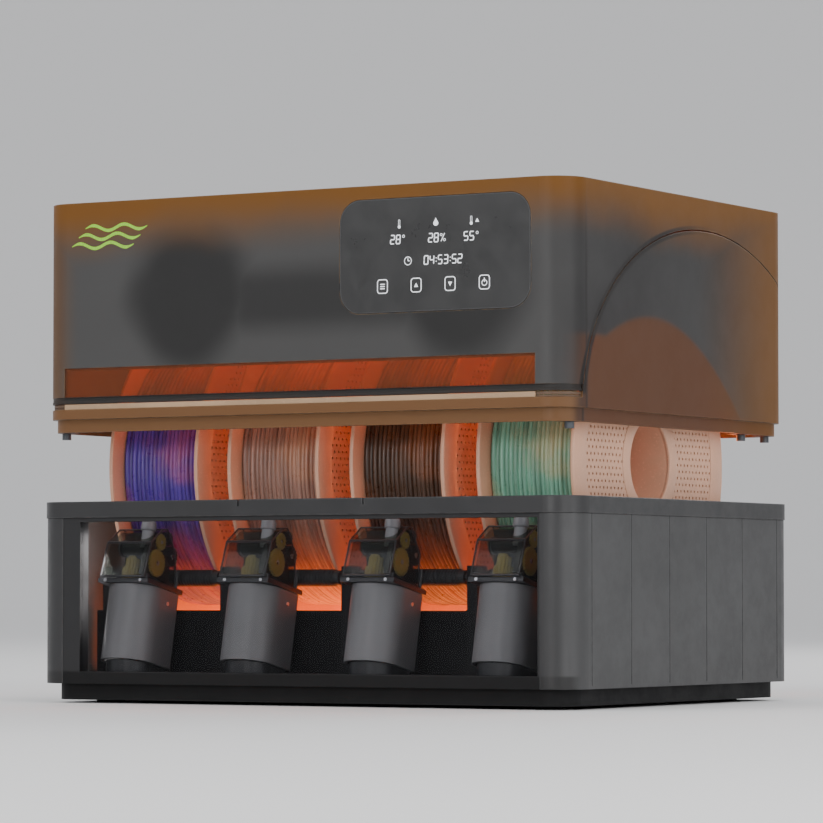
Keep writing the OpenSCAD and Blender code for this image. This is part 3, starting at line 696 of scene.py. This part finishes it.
def hex_web(inner, outer, x_middle, thickness):
    """A sheet of hexagonal cells, each with a hole, between two radii."""
    points, index, tops = [], {}, []

    def corner(y, z):
        key = (round(y / (0.01 * MM)), round(z / (0.01 * MM)))
        if key not in index:
            index[key] = len(points)
            points.append((y, z))
        return index[key]

    row_step = HOLE_PITCH * math.sqrt(3) / 2
    rows = int(outer / row_step) + 1
    for row in range(-rows, rows + 1):
        for col in range(-rows - 2, rows + 3):
            cy = (col + 0.5 * (row % 2)) * HOLE_PITCH
            cz = row * row_step
            if not inner < math.hypot(cy, cz) < outer:
                continue
            cell, hole = [], []
            for k in range(6):
                turn = math.radians(60 * k + 30)
                c, s = math.cos(turn), math.sin(turn)
                cell.append(corner(cy + HOLE_PITCH / math.sqrt(3) * c, cz + HOLE_PITCH / math.sqrt(3) * s))
                hole.append(corner(cy + HOLE_RADIUS * c, cz + HOLE_RADIUS * s))
            tops += [(cell[k], cell[(k + 1) % 6], hole[(k + 1) % 6], hole[k]) for k in range(6)]
    n = len(points)
    verts = [(x_middle + thickness / 2, y, z) for y, z in points]
    verts += [(x_middle - thickness / 2, y, z) for y, z in points]
    faces = tops + [tuple(n + i for i in quad[::-1]) for quad in tops]
    edges = {(quad[k], quad[(k + 1) % 4]) for quad in tops for k in range(4)}
    faces += [(a, n + a, n + b, b) for a, b in edges if (b, a) not in edges]
    return verts, faces


def soft_ring(x0, x1, r0, r1, round_by, segments=SEGMENTS):
    """A turned ring with rounded corners."""
    profile = []
    for k, (cx, cr) in enumerate(((x1, r1), (x0, r1), (x0, r0), (x1, r0))):
        sx = -1 if cx == x1 else 1
        sr = -1 if cr == r1 else 1
        for s in range(4):
            turn = math.pi / 2 * (k + s / 3)
            profile.append((cx + sx * round_by + round_by * math.cos(turn),
                            cr + sr * round_by + round_by * math.sin(turn)))
    return turned(profile[::-1], segments)


def spool_mesh():
    lo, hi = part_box("spool_1")
    half = (hi.x - lo.x) / 2
    rim = (hi.z - lo.z) / 2
    parts = [soft_ring(-half + 1 * MM, half - 1 * MM, BORE, BORE + 2 * MM, 0.4 * MM),
             soft_ring(-half + FLANGE, half - FLANGE, 38 * MM, 42 * MM, 0.4 * MM)]
    for side in (-1, 1):
        x0, x1 = sorted((side * half, side * (half - FLANGE)))
        parts.append(hex_web(HUB - 2 * MM, RIM_INNER + 2 * MM, (x0 + x1) / 2, WEB))
        parts.append(soft_ring(x0, x1, RIM_INNER, rim, 0.7 * MM))
        parts.append(soft_ring(x0, x1, BORE, HUB, 0.7 * MM))
    return mesh_of("spool", *join_parts(parts))


def winding_mesh():
    """Strands side by side across the spool, with a slightly uneven level."""
    lo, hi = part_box("filament_1")
    half = (hi.x - lo.x) / 2
    radius = (hi.z - lo.z) / 2
    strand = 1.45 * MM
    count = int(2 * half / (2 * strand))
    profile = []
    for k in range(count):
        centre = -half + (2 * k + 1) * half / count
        level = radius - strand - 0.35 * MM * (1 + math.sin(k * 2.4))
        for s in range(6):
            turn = math.pi * (1 - (s + 0.5) / 6)
            profile.append((centre + strand * 0.98 * math.cos(turn), level + strand * math.sin(turn)))
    profile += [(half, WOUND_FROM), (-half, WOUND_FROM)]
    return mesh_of("winding", *turned(profile[::-1], SEGMENTS))


def soften(mesh):
    mesh.shade_smooth()
    mesh.set_sharp_from_angle(angle=math.radians(35))


def copy_of(mesh, name, place, lean=0.0):
    """An object with a shared mesh, leaning back by an angle."""
    piece = bpy.data.objects.new(name, mesh)
    piece.location = place
    piece.rotation_euler = (-lean, 0, 0)
    bpy.context.collection.objects.link(piece)
    return piece


def make_spools(materials):
    spool, winding = spool_mesh(), winding_mesh()
    winding.materials.append(None)
    spool.materials.append(materials["spool_card"])
    colours = {row["node"]: row["material_slot"] for row in frame["record"]["subparts"]}
    for bay in BAYS:
        centre = box_of(f"spool_{bay}")[2]
        for name, mesh, node in ((f"spool_flanges_{bay}", spool, f"spool_{bay}"),
                                 (f"winding_{bay}", winding, f"filament_{bay}")):
            piece = copy_of(mesh, name, centre)
            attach(piece, f"spool_{bay}")
            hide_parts(node)
            if mesh is winding:
                piece.material_slots[0].link = "OBJECT"
                piece.material_slots[0].material = materials[colours[node]]
    soften(spool)
    soften(winding)


# ---------------------------------------------------------------- feeders, rollers and inlets

LEAN = math.radians(12)
HOOD_DEPTH = 36 * MM
# Side outline of the clear cover, as (back, up) in mm from the low front corner of its box
COVER_SIDE = ((0, 7), (8, 27.8), (21, 35.8), (26, 35.8), (30, 28.8), (34.5, 19.8), (34.5, 3))
# Axes across the feeder, in the same way
BIG_GEAR, IDLER, DRIVE, TENSION, MOTOR = (17.5, 15), (22.5, 28), (33.5, 19), (31.5, 30), (19, 24)


def prism(a, b, outline):
    """A straight bar from a to b, with an outline of (u, v) points, counter-clockwise seen from b."""
    a, b = Vector(a), Vector(b)
    along = (b - a).normalized()
    u = along.orthogonal().normalized()
    v = along.cross(u)
    n = len(outline)
    verts = [end + u * p + v * q for end in (a, b) for p, q in outline]
    faces = [tuple(range(n))[::-1], tuple(range(n, 2 * n))]
    faces += [(i, (i + 1) % n, n + (i + 1) % n, n + i) for i in range(n)]
    return verts, faces


def rod(a, b, r, sides=10):
    return prism(a, b, [(r * math.cos(2 * math.pi * k / sides), r * math.sin(2 * math.pi * k / sides))
                        for k in range(sides)])


def cog(a, b, r, teeth, depth):
    """A toothed wheel from a to b."""
    points = []
    for k in range(teeth):
        for part, radius in ((0, r - depth), (0.22, r), (0.5, r), (0.72, r - depth)):
            turn = 2 * math.pi * (k + part) / teeth
            points.append((radius * math.cos(turn), radius * math.sin(turn)))
    return prism(a, b, points)


def add_piece(name, parts, material, body="base", smooth_angle=40):
    piece = link(name, mesh_of(name, *join_parts(parts)), body, smooth_angle)
    piece.data.materials.append(material)
    return piece


def make_feeders(materials):
    rail = [(-0.8 * MM, -1.6 * MM), (0.8 * MM, -1.6 * MM), (0.8 * MM, 1.6 * MM), (-0.8 * MM, 1.6 * MM)]
    for bay in BAYS:
        hood_lo, _, hood = box_of(f"feeder_hood_{bay}")
        cover_lo, cover_hi, cover = box_of(f"feeder_cover_{bay}")
        foot = Vector((hood.x, hood_lo.y, hood_lo.z + HOOD_DEPTH * math.sin(LEAN)))

        def leaning(x, back, up):
            """A point in the feeder's own leaning frame, in mm, as the frame's metres."""
            x, back, up = x * MM, back * MM, up * MM
            return (foot.x + x, foot.y + back * math.cos(LEAN) + up * math.sin(LEAN),
                    foot.z - back * math.sin(LEAN) + up * math.cos(LEAN))

        def on_cover(x, back, up):
            return (cover.x + x * MM, cover_lo.y + back * MM, cover_lo.z + up * MM)

        def on_axis(axis, x0, x1):
            """Both ends of a wheel or shaft on one of the feeder's axes."""
            return on_cover(x0, *axis), on_cover(x1, *axis)

        half = (cover_hi.x - cover_lo.x) / 2 / MM - 0.35
        edges = []
        for k in range(len(COVER_SIDE) - 1):
            for side in (-half, half):
                ends = [on_cover(side, *COVER_SIDE[k + step]) for step in (0, 1)]
                edges.append(rod(*ends, 0.55 * MM, 8))
        for k in range(5):
            thick = (0.75 if k < 2 else 0.5) * MM
            edges.append(rod(on_cover(-half, *COVER_SIDE[k]), on_cover(half, *COVER_SIDE[k]), thick, 8))
        add_piece(f"cover_edges_{bay}", edges, materials["core_black"])

        wheels = [cog(*on_axis(BIG_GEAR, 13.1, 14.5), 8.6 * MM, 22, 1.0 * MM),
                  cog(*on_axis(IDLER, 13.1, 14.3), 5.2 * MM, 14, 0.9 * MM),
                  rod(on_cover(-7, 19, 8), on_cover(-7, 22, 21), 2.4 * MM, 20)]
        add_piece(f"gear_train_{bay}", wheels, materials["gear_bronze"])

        works = [cog(*on_axis(DRIVE, 9, 14.5), 6.4 * MM, 16, 0.9 * MM),
                 cog(*on_axis(TENSION, 10, 14), 4.2 * MM, 12, 0.8 * MM),
                 prism(leaning(17.5, 31.5, 50), leaning(17.5, 31.5, 61.5), rail),
                 rod(*on_axis(MOTOR, -11, 9), 4.2 * MM, 20),
                 rod(*on_axis(MOTOR, -12.5, -11), 5.4 * MM, 20)]
        for side in (-15.6, 15.6):
            works.append(rod(leaning(side, 1.2, 50.1), leaning(side, 1.2, 53), 1.5 * MM, 12))
        add_piece(f"feeder_works_{bay}", works, materials["core_black"])

        screws = [rod(*on_axis(BIG_GEAR, 14.4, 14.8), 1.5 * MM, 16),
                  rod(*on_axis(DRIVE, 14.4, 15.1), 1.6 * MM, 16),
                  rod(*on_axis(IDLER, 14.2, 14.7), 1.1 * MM, 16),
                  rod(leaning(17.3, 25, 39), leaning(17.9, 25, 39), 1.3 * MM, 16),
                  rod(leaning(-13, -1, 48.7), leaning(-13, -1.4, 48.7), 1.1 * MM, 16),
                  rod(leaning(13, -1, 48.7), leaning(13, -1.4, 48.7), 1.1 * MM, 16)]
        add_piece(f"feeder_screws_{bay}", screws, materials["steel"])


def make_rollers(materials):
    """Ribbed rubber sleeves on their shafts, in place of the plain CAD rollers."""
    lo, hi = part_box("front_roller_1")
    end, r = (hi.x - lo.x) / 2, (hi.z - lo.z) / 2
    sleeve, stub, centre_hole = end - 5.5 * MM, 2.5 * MM, 0.2 * MM
    collar, groove, rib_pitch = r * 0.86, r * 0.9, 2.1 * MM
    profile = [(-end, centre_hole), (-end, stub), (-sleeve, stub), (-sleeve, collar),
               (-sleeve + 3 * MM, collar)]
    at = -sleeve + 3.4 * MM
    while at < sleeve - 3.6 * MM:
        profile += [(at, r), (at + 1.3 * MM, r), (at + 1.5 * MM, groove), (at + 1.9 * MM, groove)]
        at += rib_pitch
    profile += [(sleeve - 3 * MM, collar), (sleeve, collar), (sleeve, stub), (end, stub),
                (end, centre_hole)]
    mesh = mesh_of("ribbed_roller", *turned(profile[::-1], 40))
    mesh.materials.append(materials["roller_rubber"])
    soften(mesh)
    for bay in BAYS:
        for row in ("front", "rear"):
            node = f"{row}_roller_{bay}"
            piece = copy_of(mesh, f"ribbed_{node}", box_of(node)[2])
            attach(piece, node)
            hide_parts(node)


def make_foot_strips(materials):
    """The layered brown strips that carry the seal's line round the front corners of the unit; their dark
    brown is painted shade of the grooves there.
    """
    lo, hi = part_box("frame_seal")
    inset, wide, gap = 1.0 * MM, 1.2 * MM, 0.3 * MM
    for name, side, seal_end in (("right", 1, hi.x), ("left", -1, lo.x)):
        centre_x = UNIT_HI.x - CORNER if side > 0 else UNIT_LO.x + CORNER
        centre_y = UNIT_LO.y + CORNER
        outer, inner = [], []
        for ring_points, depth in ((outer, inset), (inner, inset + wide)):
            ring_points.append((seal_end + side * gap, UNIT_LO.y + depth))
            for k in range(17):
                turn = math.pi / 2 * k / 16
                ring_points.append((centre_x + side * (CORNER - depth) * math.sin(turn),
                                    centre_y - (CORNER - depth) * math.cos(turn)))
            ring_points.append((ring_points[-1][0], ring_points[-1][1] + 3 * MM))
        parts = []
        for low, high in ((lo.z + 0.1 * MM, lo.z + 1.1 * MM), (lo.z + 1.4 * MM, hi.z - 0.1 * MM)):
            layers = [[(x, y, z) for x, y in ring_points] for z in (low, high)
                      for ring_points in (outer, inner)]
            parts.append(ribbon(layers, flipped=side > 0))
        add_piece(f"foot_strip_{name}", parts, materials["foot_brown"], "heater_unit", 30)


def make_inlets(materials):
    """Rounded inlet collars, in place of the plain CAD ones."""
    bore, neck, cap, length = 1.3 * MM, 3.7 * MM, 4.7 * MM, 18 * MM
    dome, dome_in, chamfer, cap_foot = 3.2 * MM, 2.0 * MM, 0.5 * MM, -7 * MM
    profile = [(bore, -length), (neck, -length), (neck, cap_foot), (cap - chamfer, cap_foot),
               (cap, cap_foot + chamfer), (cap, -dome)]
    for k in range(1, 7):
        turn = math.pi / 2 * k / 6
        profile.append((cap - dome_in * (1 - math.cos(turn)), -dome + dome * math.sin(turn)))
    profile += [(bore + 0.5 * MM, -0.4 * MM), (bore, -1.2 * MM)]
    mesh = mesh_of("inlet_collar", *turned(profile, 40, axis="Z"))
    mesh.materials.append(materials["inlet_grey"])
    soften(mesh)
    for bay in BAYS:
        node = f"inlet_button_{bay}"
        _, hi, mid = box_of(node)
        top = Vector((mid.x, hi.y - cap * math.cos(LEAN), hi.z - cap * math.sin(LEAN)))
        piece = copy_of(mesh, f"inlet_collar_{bay}", top, LEAN)
        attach(piece, node)
        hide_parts(node)


# ---------------------------------------------------------------- the front display and mark

PANEL_LO, PANEL_HI, PANEL = box_of("touch_panel")
INK_FRONT = PANEL_LO.y - 0.06 * MM
INK_BACK = PANEL_LO.y + 0.1 * MM
SEGMENTS_LIT = {"0": "abcdef", "2": "abged", "3": "abgcd", "4": "fgbc", "5": "afgcd", "8": "abcdefg"}


def stroke(x0, z0, x1, z1, w):
    """A straight stroke with pointed ends."""
    dx, dz = x1 - x0, z1 - z0
    length = math.hypot(dx, dz)
    ux, uz = dx / length, dz / length
    px, pz = -uz * w / 2, ux * w / 2
    e = w / 2
    return [(x0, z0), (x0 + ux * e - px, z0 + uz * e - pz), (x1 - ux * e - px, z1 - uz * e - pz),
            (x1, z1), (x1 - ux * e + px, z1 - uz * e + pz), (x0 + ux * e + px, z0 + uz * e + pz)]


def ink(outline):
    return plate(outline, INK_FRONT, INK_BACK)


def ink_band(outer, inner):
    return band(outer, inner, INK_FRONT, INK_BACK)


def digit(value, x, z, h):
    """A seven-segment digit with its lower left corner at (x, z)."""
    w, t = h * 0.52, h * 0.13
    lean = 0.06 * h
    ends = {"a": ((0, h), (w, h)), "b": ((w, h / 2), (w, h)), "c": ((w, 0), (w, h / 2)),
            "d": ((0, 0), (w, 0)), "e": ((0, 0), (0, h / 2)), "f": ((0, h / 2), (0, h)),
            "g": ((0, h / 2), (w, h / 2))}
    parts = []
    for name in SEGMENTS_LIT[value]:
        (x0, z0), (x1, z1) = ends[name]
        parts.append(ink(stroke(x + x0 + lean * z0 / h, z + z0, x + x1 + lean * z1 / h, z + z1, t)))
    return parts


def number(text, x, z, h):
    """Digits and colons in a row from x; returns the shapes and the end of the row."""
    parts = []
    for letter in text:
        if letter == ":":
            for dz in (0.3, 0.7):
                parts.append(ink(circle_outline(x + 0.1 * h, z + dz * h, 0.07 * h, 10)))
            x += h * 0.34
        else:
            parts += digit(letter, x, z, h)
            x += h * 0.78
    return parts, x


def ring(cx, cz, r, w):
    return ink_band(circle_outline(cx, cz, r), circle_outline(cx, cz, r - w))


def drop_outline(cx, cz, size):
    """A water drop with its point at the top."""
    points = []
    for k in range(24):
        turn = 2 * math.pi * k / 24 - math.pi / 2
        lift = max(0.0, math.sin(turn)) ** 3 * 0.9
        squeeze = 1 - 0.75 * max(0.0, math.sin(turn)) ** 2
        points.append((cx + size * math.cos(turn) * squeeze, cz + size * (math.sin(turn) + lift)))
    return points


def thermometer(cx, cz, s):
    return [ink(circle_outline(cx, cz - 0.55 * s, 0.32 * s, 16)),
            ink_band(rounded_outline(cx, cz + 0.15 * s, 0.42 * s, 1.5 * s, 0.2 * s, 4),
                     rounded_outline(cx, cz + 0.15 * s, 0.24 * s, 1.32 * s, 0.11 * s, 4))]


def clock_face(cx, cz, s):
    return [ring(cx, cz, s, 0.18 * s), ink(stroke(cx, cz, cx, cz + 0.65 * s, 0.2 * s)),
            ink(stroke(cx, cz, cx + 0.5 * s, cz, 0.2 * s))]


def key_frame(cx, cz, w, h):
    """The open rounded frame round a touch key."""
    line = 1.1 * MM
    return ink_band(rounded_outline(cx, cz, w, h, 1.9 * MM),
                    rounded_outline(cx, cz, w - line, h - line, 1.4 * MM))


def triangle(cx, cz, s, up):
    k = 1 if up else -1
    points = [(cx - s, cz - k * s * 0.8), (cx + s, cz - k * s * 0.8), (cx, cz + k * s)]
    return ink(points if up else points[::-1])


def display_shapes():
    """Readings, pictograms and keys, laid out from the panel's upper left corner."""
    left, top = PANEL_LO.x, PANEL_HI.z
    parts = []
    label_z, reading_z, time_z, key_z = top - 15.5 * MM, top - 27 * MM, top - 40 * MM, top - 52 * MM
    parts += thermometer(left + 41 * MM, label_z, 3.0 * MM)
    parts.append(ink(drop_outline(left + 66 * MM, label_z - 0.4 * MM, 1.7 * MM)))
    parts += thermometer(left + 90 * MM, label_z, 3.0 * MM)
    parts.append(triangle(left + 94 * MM, label_z, 1.3 * MM, True))
    for text, dx in (("28", 35), ("28", 61), ("55", 85)):
        shapes, end = number(text, left + dx * MM, reading_z, 5 * MM)
        parts += shapes
        if dx == 61:
            parts += [ring(end + 0.9 * MM, reading_z + 4 * MM, 0.85 * MM, 0.35 * MM),
                      ring(end + 3.1 * MM, reading_z + 1 * MM, 0.85 * MM, 0.35 * MM),
                      ink(stroke(end + 0.7 * MM, reading_z, end + 3.3 * MM, reading_z + 5 * MM, 0.5 * MM))]
        else:
            parts.append(ring(end + 1.2 * MM, reading_z + 4.2 * MM, 0.9 * MM, 0.35 * MM))
    parts += clock_face(left + 47 * MM, time_z + 2.5 * MM, 2.6 * MM)
    parts += number("04:53:52", left + 58 * MM, time_z, 5 * MM)[0]
    for k in range(4):
        cx = left + (29.5 + 23.1 * k) * MM
        parts.append(key_frame(cx, key_z, 7.4 * MM, 8.6 * MM))
        if k == 0:
            for dz in (-1.3, 0, 1.3):
                z = key_z + dz * MM
                parts.append(ink(stroke(cx - 1.7 * MM, z, cx + 1.7 * MM, z, 0.6 * MM)))
        elif k < 3:
            parts.append(triangle(cx, key_z, 1.4 * MM, k == 1))
        else:
            parts.append(ring(cx, key_z - 0.3 * MM, 1.9 * MM, 0.5 * MM))
            parts.append(ink(stroke(cx, key_z, cx, key_z + 2.7 * MM, 0.6 * MM)))
    return join_parts(parts)


def make_display(materials):
    digits = link("display_digits", mesh_of("display_digits", *display_shapes()), "lid", 0)
    digits.data.materials.append(materials["digit_white"])
    w, h = PANEL_HI.x - PANEL_LO.x, PANEL_HI.z - PANEL_LO.z
    outline = ink_band(rounded_outline(PANEL.x, PANEL.z, w - 0.4 * MM, h - 0.4 * MM, 13.6 * MM, 12),
                       rounded_outline(PANEL.x, PANEL.z, w - 1.1 * MM, h - 1.1 * MM, 13.2 * MM, 12))
    border = link("display_border", mesh_of("display_border", *outline), "lid", 0)
    border.data.materials.append(materials["line_grey"])


def make_mark(materials):
    """A plain green mark of three air-flow waves, in the upper left of the front."""
    left, base = UNIT_LO.x + 24 * MM, UNIT_HI.z - 27 * MM
    width, swing, line, steps = 46 * MM, 1.7 * MM, 2.0 * MM, 40
    parts = []
    for row in range(3):
        upper, lower = [], []
        for k in range(steps + 1):
            x = left + row * 5 * MM + width * k / steps
            z = base + row * 5.4 * MM + swing * math.sin(2 * math.pi * 2 * k / steps)
            thick = line / 2 * min(1, 6 * k / steps + 0.25, 6 * (1 - k / steps) + 0.25)
            upper.append((x, z + thick))
            lower.append((x, z - thick))
        y_front, y_back = UNIT_LO.y - 0.15 * MM, UNIT_LO.y + 0.3 * MM
        layers = [[(x, y, z) for x, z in line_points] for y in (y_front, y_back)
                  for line_points in (lower, upper)]
        parts.append(ribbon(layers))
    mark = link("front_mark", mesh_of("front_mark", *join_parts(parts)), "lid", 30)
    mark.data.materials.append(materials["mark_green"])


# ---------------------------------------------------------------- build

make_camera()
make_floor()
make_lights()
materials = make_materials()
paint_nodes(materials)
make_spools(materials)
make_feeders(materials)
make_rollers(materials)
make_inlets(materials)
make_foot_strips(materials)
make_display(materials)
make_mark(materials)
